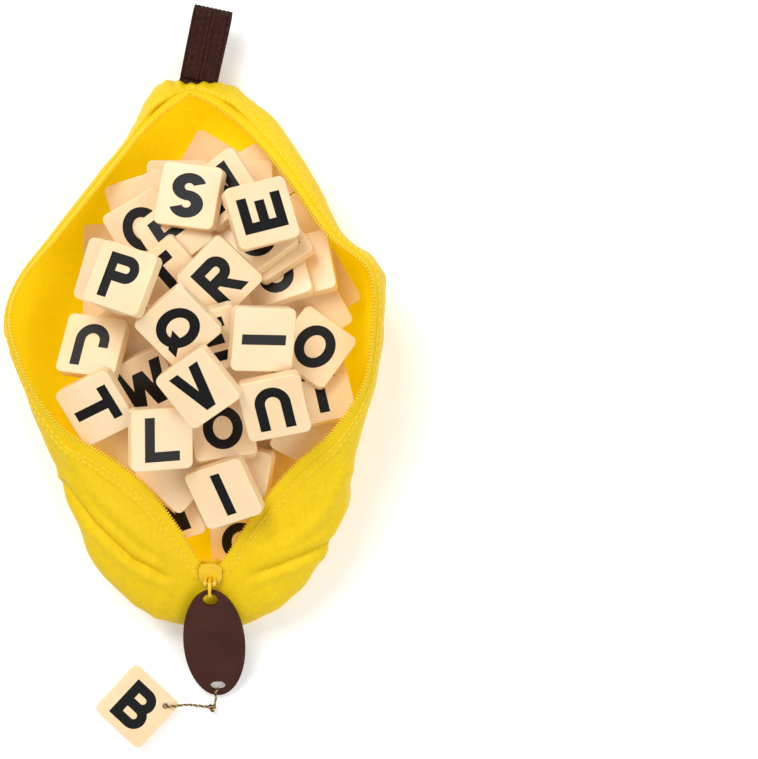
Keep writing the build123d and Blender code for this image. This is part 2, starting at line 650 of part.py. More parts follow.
# The tiles beneath lie in flat layers, each on the grid that holds the most of them.
layer_spacing = 0.6
layer_turns = range(0, 90, 15)
layer_shifts = (0.0, 0.5)
hidden_layers = 5
nose_fill = 5.5              # highest hidden tile at the nose, and its rise for each millimetre behind it
nose_fill_rise = 0.42
for layer in range(hidden_layers):
    height = lining_top + tile_gap + box_half[2] + layer * (tile_thickness + tile_gap)
    trials = [flat_layer(height, turn, shift) for turn in layer_turns for shift in layer_shifts]
    placed += max(trials, key=len)
hidden_count = len(placed)
for tile in shown_tiles:
    settle(*tile)
shown = placed[hidden_count:]


def in_place(solid, centre, axes):
    """A tile drawn at the origin, put where it settled."""
    plane = Plane(origin=Vector(*centre), x_dir=Vector(*axes[:, 0]), z_dir=Vector(*axes[:, 2]))
    return plane.location * solid


blank = tile_solid("")
layer_levels = sorted({round(centre[2], 3) for letter, centre, axes in placed[:hidden_count]})
for number, level in enumerate(layer_levels, start=1):
    solids = [in_place(blank, centre, axes) for letter, centre, axes in placed[:hidden_count]
              if abs(centre[2] - level) < tile_gap]
    nodes[f"lower_tiles_{number}"] = Compound(children=solids)
nodes["face_down_tiles"] = Compound(
    children=[in_place(blank, centre, axes) for letter, centre, axes in shown if not letter])
lettered = [tile for tile in shown if tile[0]]
for number, (letter, centre, axes) in enumerate(lettered, start=1):
    nodes[f"tile_{number:02d}_{letter.lower()}"] = in_place(tile_solid(letter), centre, axes)
print("pin", pin_centre, "tag bar", tag_bar, "tag hole", lower_hole_centre, "loop", loop_base)
print("tiles beneath", hidden_count, "face down", len(shown) - len(lettered), "lettered", len(lettered))

# ---------------------------------------------------------------- hanging tile and its cord
hang_tile = tile_solid("B")
corner_reach = (tile_side / 2 - tile_corner) * math.sqrt(2) + tile_corner
hole_reach = (corner_reach - hang_hole_inset) / math.sqrt(2)
hang_tile -= Pos(hole_reach, hole_reach, 0) * Cylinder(hang_hole_radius, 2 * tile_thickness)
hang_plane = Pos(hang_tile_x, hang_tile_y, tile_thickness / 2) * Rot(0, 0, hang_tile_turn)
nodes["hang_tile"] = hang_plane * hang_tile
tile_hole = (hang_plane * Pos(hole_reach, hole_reach, 0)).position
cord_radius = cord_diameter / 2
over_tile = tile_thickness + cord_radius + 0.3
hole_x, hole_y = lower_hole_centre.X, lower_hole_centre.Y
tag_end_y = hole_y - tag_lower_hole_inset
# The cord's route, from the tag's hole over its edge, along the table, and down into the tile's hole.
cord_route = [
    (hole_x - 0.3, hole_y - 1.4, 3.2),
    (hole_x - 0.4, hole_y - 1.8, 7.2),
    (hole_x - 1.2, tag_end_y - 3.4, 5.6),
    (hole_x - 2.6, tag_end_y - 5.0, cord_radius + 0.1),
    (hole_x - 9.2, tag_end_y - 4.2, cord_radius + 0.1),
    (hole_x - 13.6, tag_end_y - 3.2, over_tile - 0.6),
    (tile_hole.X + 2.2, tile_hole.Y - 0.2, over_tile + 0.6),
    (tile_hole.X, tile_hole.Y, over_tile - 0.9),
    (tile_hole.X, tile_hole.Y, tile_thickness / 2),
]


def corner_radii(route):
    """The radius of each bend: 0.45 of the shorter run, over the tangent of half the turn."""
    points = [Vector(*point) for point in route]
    result = []
    for before, corner, after in zip(points, points[1:], points[2:]):
        turn = (corner - before).get_angle(after - corner)
        shorter = min((corner - before).length, (after - corner).length)
        result.append(0.45 * shorter / math.tan(math.radians(turn / 2)))
    return result


radii_of_cord = corner_radii(cord_route)
cord_path = FilletPolyline(*cord_route, radius=radii_of_cord)
cord_start = Plane(origin=cord_path @ 0, z_dir=cord_path % 0)
cord = sweep(cord_start * Circle(cord_radius), path=cord_path)
knot = Pos(*cord_route[3]) * Pos(0, 0, knot_radius - cord_radius) * Sphere(knot_radius)
nodes["tag_cord"] = cord
nodes["cord_knot"] = knot - cord
print("cord", round(cord_path.length, 1), "mm; bend radii", [round(r, 1) for r in radii_of_cord])

# ---------------------------------------------------------------- files
os.makedirs("parts", exist_ok=True)
for name, shape in nodes.items():
    export_step(shape, f"parts/{name}.step")
print(len(nodes), "nodes written")
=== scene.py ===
# %% [markdown]
# # A soft zipped pouch heaped with word game tiles
# The hard pieces (tiles, tag, slider, link) come from the measured CAD model, and this script
# dresses them. The soft pieces (cloth, lining, zip, webbing and cord) are built here from the same
# curves that the CAD model uses, because cloth needs folds, thread and weave that a plain solid lacks.
# Everything is in metres. +Z is up and +Y points to the webbing loop.

import math

import bpy
import bmesh
import numpy as np
from mathutils import Matrix, Vector, noise


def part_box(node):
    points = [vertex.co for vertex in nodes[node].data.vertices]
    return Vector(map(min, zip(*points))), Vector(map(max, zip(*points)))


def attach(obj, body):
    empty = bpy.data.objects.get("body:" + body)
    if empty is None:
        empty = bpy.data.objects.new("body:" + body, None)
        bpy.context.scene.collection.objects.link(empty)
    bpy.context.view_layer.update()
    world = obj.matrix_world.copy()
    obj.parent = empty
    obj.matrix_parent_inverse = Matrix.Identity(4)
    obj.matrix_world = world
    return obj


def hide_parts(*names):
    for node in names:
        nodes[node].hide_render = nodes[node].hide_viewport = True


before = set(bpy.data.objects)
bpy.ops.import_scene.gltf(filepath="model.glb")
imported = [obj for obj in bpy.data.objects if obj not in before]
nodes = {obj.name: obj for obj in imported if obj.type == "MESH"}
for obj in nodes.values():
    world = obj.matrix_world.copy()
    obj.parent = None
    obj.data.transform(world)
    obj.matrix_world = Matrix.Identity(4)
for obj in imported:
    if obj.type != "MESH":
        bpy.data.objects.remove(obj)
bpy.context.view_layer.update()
print("frame with", len(nodes), "nodes")

# %% [markdown]
# ## Small helpers
# Meshes made of a grid of points are the easiest to keep tidy: rows and columns give the faces, and
# the distance along each way gives the UV map that the weave and the ribs of the webbing use.

# %% Helpers for objects and grids
def new_piece(name, mesh, material, body):
    """A piece with its material, riding on a CAD body."""
    piece = bpy.data.objects.new(name, mesh)
    bpy.context.scene.collection.objects.link(piece)
    mesh.materials.append(material)
    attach(piece, body)
    return piece


def smooth(mesh, angle=40):
    """Smooth shading with sharp edges where the faces meet at more than the angle."""
    for polygon in mesh.polygons:
        polygon.use_smooth = True
    mesh.set_sharp_from_angle(angle=math.radians(angle))


def run_lengths(points, axis):
    """Distance travelled along one way of a grid, averaged over the other."""
    steps = np.linalg.norm(np.diff(points, axis=axis), axis=2).mean(axis=1 - axis)
    return np.concatenate([[0.0], np.cumsum(steps)])


def shell_mesh(name, outer, inner):
    """A closed shell between two grids of points of the same shape, with UVs in metres."""
    columns, rows = outer.shape[:2]
    count = columns * rows
    vertices = np.vstack([outer.reshape(-1, 3), inner.reshape(-1, 3)])
    at = lambda c, r, side: side * count + c * rows + r
    faces = []
    for c in range(columns - 1):
        for r in range(rows - 1):
            faces.append((at(c, r, 0), at(c + 1, r, 0), at(c + 1, r + 1, 0), at(c, r + 1, 0)))
            faces.append((at(c, r, 1), at(c, r + 1, 1), at(c + 1, r + 1, 1), at(c + 1, r, 1)))
        for r, flip in ((0, False), (rows - 1, True)):
            rim = (at(c, r, 0), at(c, r, 1), at(c + 1, r, 1), at(c + 1, r, 0))
            faces.append(rim[::-1] if flip else rim)
    for r in range(rows - 1):
        for c, flip in ((0, True), (columns - 1, False)):
            rim = (at(c, r, 0), at(c, r, 1), at(c, r + 1, 1), at(c, r + 1, 0))
            faces.append(rim[::-1] if flip else rim)
    mesh = bpy.data.meshes.new(name)
    mesh.from_pydata(vertices.tolist(), [], faces)
    along, up = run_lengths(outer, 0), run_lengths(outer, 1)
    uv = mesh.uv_layers.new(name="cloth")
    place = np.zeros(len(mesh.loops), int)
    mesh.loops.foreach_get("vertex_index", place)
    place %= count
    coordinates = np.stack([along[place // rows], up[place % rows]], axis=1)
    uv.data.foreach_set("uv", coordinates.astype(np.float32).ravel())
    recalculate(mesh)
    smooth(mesh)
    return mesh


def recalculate(mesh):
    """Normals turned outwards."""
    work = bmesh.new()
    work.from_mesh(mesh)
    bmesh.ops.recalc_face_normals(work, faces=work.faces)
    work.to_mesh(mesh)
    work.free()


# %% [markdown]
# ## Shared effects
# Weave, ribs and slow colour changes appear in several materials, so each is a node group with named
# inputs. A group only hands out heights and masks; the shader itself stays in the material.

# %% Shader node groups
def new_group(name, inputs):
    """An empty shader group with float inputs, a Height and a Mask output."""
    group = bpy.data.node_groups.new(name, "ShaderNodeTree")
    for label, value in inputs:
        group.interface.new_socket(label, in_out="INPUT", socket_type="NodeSocketFloat").default_value = value
    for label in ("Height", "Mask"):
        group.interface.new_socket(label, in_out="OUTPUT", socket_type="NodeSocketFloat")
    return group, group.nodes.new("NodeGroupInput"), group.nodes.new("NodeGroupOutput")


def math_node(tree, operation, a, b):
    """A Math node fed by sockets or plain numbers."""
    node = tree.nodes.new("ShaderNodeMath")
    node.operation = operation
    for socket, value in zip(node.inputs, (a, b)):
        if isinstance(value, (int, float)):
            socket.default_value = value
        else:
            tree.links.new(value, socket)
    return node.outputs[0]


def weave_group():
    """Threads over and under each other: two sets of fine bands, broken up by a little noise."""
    group, source, target = new_group("thread_weave", [("Threads", 1800.0), ("Slub", 0.35)])
    where = group.nodes.new("ShaderNodeUVMap")
    where.uv_map = "cloth"
    bands = []
    for direction in ("X", "Y"):
        wave = group.nodes.new("ShaderNodeTexWave")
        wave.bands_direction = direction
        wave.inputs["Distortion"].default_value = 0.6
        wave.inputs["Detail"].default_value = 1.0
        group.links.new(where.outputs["UV"], wave.inputs["Vector"])
        group.links.new(source.outputs["Threads"], wave.inputs["Scale"])
        bands.append(wave.outputs["Fac"])
    over = math_node(group, "MULTIPLY", bands[0], bands[1])
    slub = group.nodes.new("ShaderNodeTexNoise")
    slub.inputs["Detail"].default_value = 3.0
    group.links.new(where.outputs["UV"], slub.inputs["Vector"])
    group.links.new(math_node(group, "MULTIPLY", source.outputs["Threads"], 0.25), slub.inputs["Scale"])
    loose = math_node(group, "MULTIPLY", slub.outputs["Fac"], source.outputs["Slub"])
    group.links.new(math_node(group, "ADD", over, loose), target.inputs["Height"])
    group.links.new(slub.outputs["Fac"], target.inputs["Mask"])
    return group


def rib_group():
    """Ribs that run along a strap or a tape, with the small beat of the cross thread in each."""
    group, source, target = new_group("woven_ribs", [("Ribs", 900.0), ("Beat", 1400.0)])
    where = group.nodes.new("ShaderNodeUVMap")
    where.uv_map = "cloth"
    bands = []
    for direction, label in (("Y", "Ribs"), ("X", "Beat")):
        wave = group.nodes.new("ShaderNodeTexWave")
        wave.bands_direction = direction
        wave.wave_profile = "SIN"
        group.links.new(where.outputs["UV"], wave.inputs["Vector"])
        group.links.new(source.outputs[label], wave.inputs["Scale"])
        bands.append(wave.outputs["Fac"])
    beat = math_node(group, "MULTIPLY", bands[1], 0.35)
    group.links.new(math_node(group, "ADD", bands[0], beat), target.inputs["Height"])
    # The mask is the ribs alone, so the material darkens the colour in their grooves: painted shade.
    group.links.new(bands[0], target.inputs["Mask"])
    return group


def mottle_group():
    """Slow, soft changes over a surface, and a fine grain on top of them."""
    group, source, target = new_group("mottle", [("Patches", 40.0), ("Grain", 900.0)])
    where = group.nodes.new("ShaderNodeTexCoord")
    parts = []
    for label, detail in (("Patches", 4.0), ("Grain", 2.0)):
        cloud = group.nodes.new("ShaderNodeTexNoise")
        cloud.inputs["Detail"].default_value = detail
        group.links.new(where.outputs["Object"], cloud.inputs["Vector"])
        group.links.new(source.outputs[label], cloud.inputs["Scale"])
        parts.append(cloud.outputs["Fac"])
    group.links.new(parts[1], target.inputs["Height"])
    group.links.new(parts[0], target.inputs["Mask"])
    return group


effects = {"weave": weave_group(), "ribs": rib_group(), "mottle": mottle_group()}
print("shared effects:", ", ".join(effects))


# %% Make a material from a colour pair and one or two effects
def from_srgb(red, green, blue):
    """A linear colour from the 0 to 255 numbers that a picture editor shows."""
    linear = [((v / 255 + 0.055) / 1.055) ** 2.4 if v > 10 else v / 255 / 12.92 for v in (red, green, blue)]
    return (*linear, 1.0)


def use_group(tree, effect, values):
    """One of the shared effects as a node, with its inputs set."""
    node = tree.nodes.new("ShaderNodeGroup")
    node.node_tree = effects[effect]
    for label, value in values.items():
        node.inputs[label].default_value = value
    return node


def make_material(name, low, high, effect, values, bump, distance, roughness, patches=40.0, grain=900.0,
                  grain_share=0.0, spread=0.5, **shader):
    """Colour between low and high by slow patches; height from one effect, with a share of grain."""
    material = bpy.data.materials.new(name)
    material.use_nodes = True
    tree = material.node_tree
    bsdf = tree.nodes["Principled BSDF"]
    bsdf.inputs["Roughness"].default_value = roughness
    for label, value in shader.items():
        bsdf.inputs[label.replace("_", " ")].default_value = value
    mottle = use_group(tree, "mottle", {"Patches": patches, "Grain": grain})
    colours = tree.nodes.new("ShaderNodeValToRGB")
    colours.color_ramp.elements[0].position = 0.5 - spread / 2
    colours.color_ramp.elements[1].position = 0.5 + spread / 2
    colours.color_ramp.elements[0].color = low
    colours.color_ramp.elements[1].color = high
    tree.links.new(mottle.outputs["Mask"], colours.inputs["Fac"])
    tree.links.new(colours.outputs["Color"], bsdf.inputs["Base Color"])
    height = mottle.outputs["Height"]
    if effect != "mottle":
        pattern = use_group(tree, effect, values)
        fine = math_node(tree, "MULTIPLY", height, grain_share)
        height = math_node(tree, "ADD", pattern.outputs["Height"], fine)
        # The colour is darkened where the pattern's mask is low. With ribs that is painted shade in the
        # grooves between them; with the weave it is the uneven tone of slubbed yarn.
        yarn_tone_and_groove_shade = tree.nodes.new("ShaderNodeMix")
        yarn_tone_and_groove_shade.data_type = "RGBA"
        yarn_tone_and_groove_shade.blend_type = "MULTIPLY"
        yarn_tone_and_groove_shade.inputs["Factor"].default_value = 0.22
        tree.links.new(colours.outputs["Color"], yarn_tone_and_groove_shade.inputs["A"])
        tree.links.new(pattern.outputs["Mask"], yarn_tone_and_groove_shade.inputs["B"])
        tree.links.new(yarn_tone_and_groove_shade.outputs["Result"], bsdf.inputs["Base Color"])
    relief = tree.nodes.new("ShaderNodeBump")
    relief.inputs["Strength"].default_value = bump
    relief.inputs["Distance"].default_value = distance
    tree.links.new(height, relief.inputs["Height"])
    tree.links.new(relief.outputs["Normal"], bsdf.inputs["Normal"])
    return material


# %% [markdown]
# ## The finishes
# Cloth is rough, and the lining glows a little by itself, for the daylight that comes through the fabric.
# Enamelled metal has a clear coat. The tiles are pale plastic that light enters a little way, so their
# shaded sides stay warm.

# %% Materials of the pouch and its fittings
shell_cloth = make_material("yellow_cloth", from_srgb(249, 208, 6), from_srgb(255, 217, 10), "weave",
                            {"Threads": 1700.0, "Slub": 0.3}, 0.16, 0.0003, 0.55, patches=14, grain=1800,
                            grain_share=0.3, Specular_IOR_Level=0.25)
# The lining's emission is painted light: a glow that stands in for the daylight that comes through the cloth.
lining_cloth = make_material("golden_lining", from_srgb(255, 216, 16), from_srgb(255, 226, 34), "weave",
                             {"Threads": 1200.0, "Slub": 0.4}, 0.3, 0.0003, 0.8, patches=30, grain=600,
                             grain_share=0.6, Specular_IOR_Level=0.2, Emission_Color=from_srgb(255, 228, 0),
                             Emission_Strength=0.33)
tape_cloth = make_material("zip_tape", from_srgb(255, 214, 10), from_srgb(255, 222, 20), "ribs",
                           {"Ribs": 1100.0, "Beat": 1500.0}, 0.25, 0.0003, 0.65, patches=20,
                           Specular_IOR_Level=0.25)
coil_plastic = make_material("zip_coil_plastic", from_srgb(252, 206, 20), from_srgb(255, 220, 36), "mottle",
                             {}, 0.1, 0.0002, 0.42, patches=300)
stitch_thread = make_material("stitch_thread", from_srgb(246, 212, 40), from_srgb(255, 230, 80), "mottle", {},
                              0.4, 0.0002, 0.6, patches=400, grain=2600)
enamel = make_material("yellow_enamel", from_srgb(236, 190, 10), from_srgb(246, 204, 24), "mottle", {},
                       0.05, 0.0001, 0.32, patches=150, Coat_Weight=0.6, Coat_Roughness=0.12)
tag_skin = make_material("brown_tag", from_srgb(62, 32, 24), from_srgb(76, 40, 31), "mottle", {},
                         0.3, 0.0003, 0.5, patches=60, grain=1400, Specular_IOR_Level=0.16)
webbing_cloth = make_material("brown_webbing", from_srgb(62, 34, 30), from_srgb(88, 52, 46), "ribs",
                              {"Ribs": 290.0, "Beat": 420.0}, 0.9, 0.0008, 0.85, patches=500,
                              Specular_IOR_Level=0.12)
tile_plastic = make_material("ivory_tile", from_srgb(248, 214, 166), from_srgb(252, 226, 188), "mottle", {},
                             0.06, 0.0002, 0.34, patches=45, grain=700, Subsurface_Weight=0.25,
                             Subsurface_Scale=0.004, Subsurface_Radius=(1.0, 0.62, 0.26))
letter_ink = make_material("black_letter", from_srgb(8, 8, 8), from_srgb(16, 15, 15), "mottle", {},
                           0.10, 0.0002, 0.4, patches=300, grain=900, Specular_IOR_Level=0.25)
print("materials:", len(bpy.data.materials))


# %% [markdown]
# ## The line of the cloth
# Each row below is one rib of a side panel, from the stem end round to the nose: the widest point of the
# belly and then the lip where the zip runs, as shares of the pouch's half width, half length and height.
# A smooth curve through the rows gives as many ribs as the cloth needs.

# %% Ribs and sizes of the pouch
half_size = np.array([0.078, 0.113, 0.063])
half_base = np.array([0.061, 0.103])
cloth = 0.0012
lining_depth = (0.0015, 0.0020)
tape_width = 0.005
foot_angle = math.radians(24)
lip_angle = math.radians(62)
steps_between_rows = 10
left_ribs = [
    (-0.11, 0.980, 0.19, -0.110, 0.930, 0.40), (-0.23, 0.975, 0.20, -0.190, 0.885, 0.44),
    (-0.33, 0.900, 0.26, -0.280, 0.830, 0.50), (-0.44, 0.770, 0.36, -0.385, 0.750, 0.60),
    (-0.62, 0.590, 0.54, -0.560, 0.580, 0.79), (-0.81, 0.410, 0.67, -0.750, 0.400, 0.94),
    (-0.965, 0.26, 0.75, -0.915, 0.255, 0.985), (-1.030, 0.13, 0.78, -0.985, 0.125, 1.000),
    (-1.005, 0.00, 0.77, -0.955, 0.000, 0.990), (-0.915, -0.17, 0.73, -0.855, -0.165, 0.950),
    (-0.82, -0.350, 0.64, -0.700, -0.290, 0.870), (-0.72, -0.560, 0.51, -0.500, -0.375, 0.760),
    (-0.58, -0.770, 0.37, -0.310, -0.485, 0.640), (-0.38, -0.935, 0.24, -0.165, -0.625, 0.520),
    (-0.17, -1.005, 0.16, -0.060, -0.750, 0.425), (0.00, -1.012, 0.15, 0.000, -0.812, 0.380)]
right_ribs = [
    (-0.11, 0.980, 0.19, -0.110, 0.930, 0.40), (0.030, 0.975, 0.20, -0.020, 0.900, 0.43),
    (0.190, 0.905, 0.29, 0.115, 0.835, 0.51), (0.345, 0.825, 0.38, 0.240, 0.750, 0.62),
    (0.540, 0.620, 0.56, 0.410, 0.610, 0.79), (0.640, 0.485, 0.67, 0.545, 0.475, 0.90),
    (0.715, 0.405, 0.72, 0.645, 0.390, 0.95), (0.865, 0.310, 0.76, 0.810, 0.300, 0.985),
    (0.905, 0.200, 0.77, 0.855, 0.200, 1.000), (0.895, 0.080, 0.77, 0.850, 0.085, 1.000),
    (0.855, -0.130, 0.73, 0.810, -0.110, 0.950), (0.770, -0.360, 0.61, 0.640, -0.285, 0.850),
    (0.665, -0.605, 0.47, 0.440, -0.405, 0.710), (0.460, -0.865, 0.31, 0.245, -0.565, 0.560),
    (0.170, -1.005, 0.16, 0.085, -0.735, 0.435), (0.000, -1.012, 0.15, 0.000, -0.812, 0.380)]
sides = {"left": left_ribs, "right": right_ribs}
heap_middle = np.array([0, 0, 0.03])


def smooth_rows(rows):
    """A Catmull-Rom curve through the rows."""
    rows = np.array(rows, float)
    ends = np.vstack([2 * rows[0] - rows[1], rows, 2 * rows[-1] - rows[-2]])
    curve = []
    for i in range(len(rows) - 1):
        a, b, c, d = ends[i:i + 4]
        for t in np.arange(steps_between_rows) / steps_between_rows:
            bend = 2 * a - 5 * b + 4 * c - d + t * (3 * (b - c) + d - a)
            curve.append(b + 0.5 * t * (c - a + t * bend))
    return np.array(curve + [rows[-1]])


def rib_line(row, count=70):
    """Close points up one rib: an arc from the base to the belly and a flatter one to the lip."""
    belly, lip = row[:3] * half_size, row[3:] * half_size
    foot = np.array([row[0] * half_base[0], row[1] * half_base[1], cloth])
    lower = foot_angle + (math.pi / 2 - foot_angle) * np.arange(count)[:, None] / count
    out = (np.sin(lower) - math.sin(foot_angle)) / (1 - math.sin(foot_angle))
    up = (math.cos(foot_angle) - np.cos(lower)) / math.cos(foot_angle)
    upper = lip_angle * np.arange(count + 1)[:, None] / count
    inward = (1 - np.cos(upper)) / (1 - math.cos(lip_angle))
    rise = np.sin(upper) / math.sin(lip_angle)
    first = foot + (belly - foot) * np.hstack([out, out, up])
    return np.vstack([first, belly + (lip - belly) * np.hstack([inward, inward, rise])])


def side_grid(ribs, place):
    """Points and inward normals of a side. place turns a rib's length into distances up it."""
    grid = []
    for row in smooth_rows(ribs):
        line = rib_line(row)
        run = np.concatenate([[0], np.cumsum(np.linalg.norm(np.diff(line, axis=0), axis=1))])
        grid.append([[np.interp(d, run, line[:, k]) for k in range(3)] for d in place(run[-1])])
    grid = np.array(grid)
    across, upward = np.gradient(grid, axis=0), np.gradient(grid, axis=1)
    across[-1] = [np.sign(across[-1, 0, 0]), 0, 0]
    across[0] = [np.sign(across[0, 0, 0]), 0, 0]
    normals = np.cross(across, upward)
    normals /= np.linalg.norm(normals, axis=2, keepdims=True)
    inward = np.sum(normals * (heap_middle - grid))
    return grid, normals * np.sign(inward)


print("ribs set by hand:", len(left_ribs), "and", len(right_ribs))


# %% [markdown]
# ## Cloth with folds
# Real sewn cloth never lies as smooth as its pattern. Long soft creases run down from the zip, and short
# ones gather where the zip ends. A cloth simulation makes folds too, but where they fall is hard to steer.
# Here noise that is stretched along the ribs gives both kinds, and the seam of the lower panel, the ridge
# above it and the full cloth beside the webbing are placed from the photograph. The cloth keeps
# its thickness, the lining behind it has only small ripples, and in the tag's way the cloth lies tight.

# %% Folds and the two side panels
broad_height, crease_height, small_height, pleat_height = 0.0024, 0.0017, 0.0002, 0.0010
edge_share = 0.06  # of the wall's height, where the folds run out below the zip


def bell(distance, reach):
    """1 at no distance, and next to nothing at twice the reach."""
    return np.exp(-(distance / reach) ** 2)


def fold_height(point, along, up):
    """How far the cloth stands out at a point, for its place along the zip and up the wall, 0 to 1."""
    broad = noise.noise(Vector((along * 9.0, up * 1.6, 3.1))) + 0.35
    crease = noise.noise(Vector((along * 30.0, up * 2.6 + along * 5.0, 7.7)))
    small = noise.noise(Vector((point[0] * 160, point[1] * 160, point[2] * 160)))
    gather = bell(1 - along, 0.13) + 0.8 * bell(along, 0.1)
    pleat = math.cos(along * 190.0) * gather * (0.4 + 0.6 * up)
    if up < 1 - edge_share:
        fade = min(1.0, math.sin(math.pi * min(1.0, up * (1 + edge_share))) ** 0.6)
    else:
        fade = (1 - up) / edge_share * 0.5
    height = broad_height * broad + crease_height * max(0.0, crease)
    height += small_height * small + pleat_height * pleat
    return max(0.0, height) * fade


def folded(grid, normals):
    """The grid moved outwards by its folds."""
    columns, rows = grid.shape[:2]
    moved = grid.copy()
    for c in range(columns):
        for r in range(rows):
            height = fold_height(grid[c, r], c / (columns - 1), r / (rows - 1))
            moved[c, r] -= normals[c, r] * height
    return moved


# The seam of the lower panel and the soft ridge above it, as lines seen from above, on each side.
seams = {
    "left": [(-0.0585, -0.0532), (-0.0472, -0.0698), (-0.0326, -0.0844), (-0.0184, -0.0925),
             (-0.0099, -0.0938)],
    "right": [(0.0116, -0.0938), (0.0294, -0.0873), (0.0509, -0.0780), (0.0610, -0.0600)]}
ridges = {
    "left": [(-0.0560, -0.0400), (-0.0492, -0.0532), (-0.0379, -0.0654), (-0.0277, -0.0755),
             (-0.0150, -0.0850)],
    "right": [(0.0150, -0.0860), (0.0330, -0.0780), (0.0452, -0.0680), (0.0560, -0.0480)]}
seam_depth, seam_reach = 0.0013, 0.0010
fullness, fullness_from_seam, fullness_reach = 0.0010, 0.0034, 0.0018
ridge_height, ridge_reach = 0.0016, 0.0030
hump_height, hump_reach = 0.0018, 0.0055
hump_places = (-0.0220, 0.0095)
notch_depth, notch_reach, notch_place = 0.0012, 0.0035, -0.0068
half_tag_way = 0.0145


def ramp(value, start, length):
    """0 before the start, 1 from a length after it."""
    return np.clip((value - start) / length, 0, 1)


def distance_to_line(points, line):
    """How far each point is from a line of straight runs, seen from above."""
    nearest = np.full(len(points), np.inf)
    for start, end in zip(np.array(line[:-1]), np.array(line[1:])):
        run = end - start
        share = np.clip((points - start) @ run / (run @ run), 0, 1)
        nearest = np.minimum(nearest, np.linalg.norm(points - start - share[:, None] * run, axis=1))
    return nearest


def sewn(moved, normals, side):
    """The seam pressed in with the cloth full on both sides of it, and the ridge pushed out."""
    flat = moved.reshape(-1, 3)
    seam = distance_to_line(flat[:, :2], seams[side])
    ridge = distance_to_line(flat[:, :2], ridges[side])
    height = fullness * bell(seam - fullness_from_seam, fullness_reach)
    height += ridge_height * bell(ridge, ridge_reach) - seam_depth * bell(seam, seam_reach)
    height *= ramp(flat[:, 2], 0.012, 0.012)
    return moved - normals * height.reshape(*moved.shape[:2], 1)


def stem_humps(moved, normals):
    """The cloth full on both sides of the webbing at the stem end, and drawn in a little between."""
    x, y, z = (moved[..., k] for k in range(3))
    near = ramp(y, 0.078, 0.022) * ramp(z, 0.006, 0.008)
    height = hump_height * sum(bell(x - place, hump_reach) for place in hump_places)
    dip = notch_depth * bell(x - notch_place, notch_reach) * ramp(z, 0.019, 0.004)
    return moved - normals * (near * (height - dip))[..., None]


def beside_tag(grid):
    """0 in the way of the tag at the nose, where the cloth lies tight, and 1 a little beside it."""
    beside = ramp(np.abs(grid[..., 0]), half_tag_way, 0.007)
    behind = ramp(grid[..., 1], -0.075, 0.01)
    return np.maximum(beside, behind)[..., None]


fabric_rows = 90
ripple_height = 0.0007


def ripple_at(point):
    """How far the lining's inner face stands out at a point."""
    return 0.6 * max(0.0, noise.noise(Vector(point * 55)) * ripple_height)


grids = {}
for side, ribs in sides.items():
    grid, normals = side_grid(ribs, lambda length: np.linspace(0, length - tape_width, fabric_rows))
    outer = grid + (sewn(folded(grid, normals), normals, side) - grid) * beside_tag(grid)
    outer = stem_humps(outer, normals)
    inner = outer + normals * cloth
    piece = new_piece(f"{side}_cloth", shell_mesh(f"{side}_cloth", outer, inner), shell_cloth, "pouch")
    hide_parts(f"{side}_panel")
    first = grid + normals * lining_depth[0]
    ripple = np.array([[ripple_at(point) for point in column] for column in grid])
    second = grid + normals * (lining_depth[1] + ripple[..., None])
    lining_mesh = shell_mesh(f"{side}_lining_cloth", first, second)
    lining = new_piece(f"{side}_lining_cloth", lining_mesh, lining_cloth, "pouch")
    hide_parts(f"{side}_lining")
    grids[side] = (grid, normals, outer)
print("cloth grid", grids["left"][0].shape[:2])

# %% [markdown]
# ## The base
# The base is one oval of the same cloth, with a lining of its own. Each is built as rings that run out
# along one face, round the edge and back in along the other. Every ring is the line where the walls
# stand, at a height and a distance inwards of its own, so the edge meets the walls all the way round.

# %% Base panel and its lining
def ring_mesh(name, rings):
    """A disc of cloth from rings of equal length, closed in the middle."""
    count = len(rings[0])
    vertices = np.vstack(rings)
    faces = []
    for k in range(len(rings) - 1):
        for i in range(count):
            j = (i + 1) % count
            faces.append((k * count + i, k * count + j, (k + 1) * count + j, (k + 1) * count + i))
    faces.append(tuple(range(count))[::-1])
    faces.append(tuple((len(rings) - 1) * count + i for i in range(count)))
    mesh = bpy.data.meshes.new(name)
    mesh.from_pydata(vertices.tolist(), [], faces)
    uv = mesh.uv_layers.new(name="cloth")
    for loop in mesh.loops:
        uv.data[loop.index].uv = mesh.vertices[loop.vertex_index].co.xy
    recalculate(mesh)
    smooth(mesh, 50)
    return mesh


foot_line = np.vstack([grids["left"][0][:, 0], grids["right"][0][-2:0:-1, 0]])
middle = np.array([*foot_line[:, :2].mean(0), 0])


def drawn_in(distance, height):
    """The foot line drawn towards the middle, at a height."""
    flat = foot_line * [1, 1, 0] - middle
    reach = np.linalg.norm(flat, axis=1, keepdims=True)
    return middle + flat * (1 - distance / reach) + [0, 0, height]


base_rings = [drawn_in(0.004, 0.0), drawn_in(0.0008, 0.0), drawn_in(0.0, 0.0005), drawn_in(0.0, cloth),
              drawn_in(0.0012, cloth)]
base_piece = new_piece("base_cloth", ring_mesh("base_cloth", base_rings), shell_cloth, "pouch")
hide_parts("base_panel")
# The lining's edge stands up a little, over the lower edge of the walls' lining.
floor_rings = [drawn_in(0.003, lining_depth[0]), drawn_in(0.0004, lining_depth[1]), drawn_in(0.0008, 0.0027),
               drawn_in(0.004, lining_depth[1])]
inside_mesh = ring_mesh("base_lining_cloth", floor_rings)
base_inside = new_piece("base_lining_cloth", inside_mesh, lining_cloth, "pouch")
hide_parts("base_lining")
print("base", [round(v, 3) for v in foot_line.max(0) - foot_line.min(0)])

# %% [markdown]
# ## Zip: tape, coil and topstitching
# A coil zip is one stiff thread wound into a long spiral and sewn to the edge of a woven tape. The
# spiral is made as one, because its even beat is what the eye reads as a zip. The two rows of
# stitches that hold the tape are small raised beads of thread.

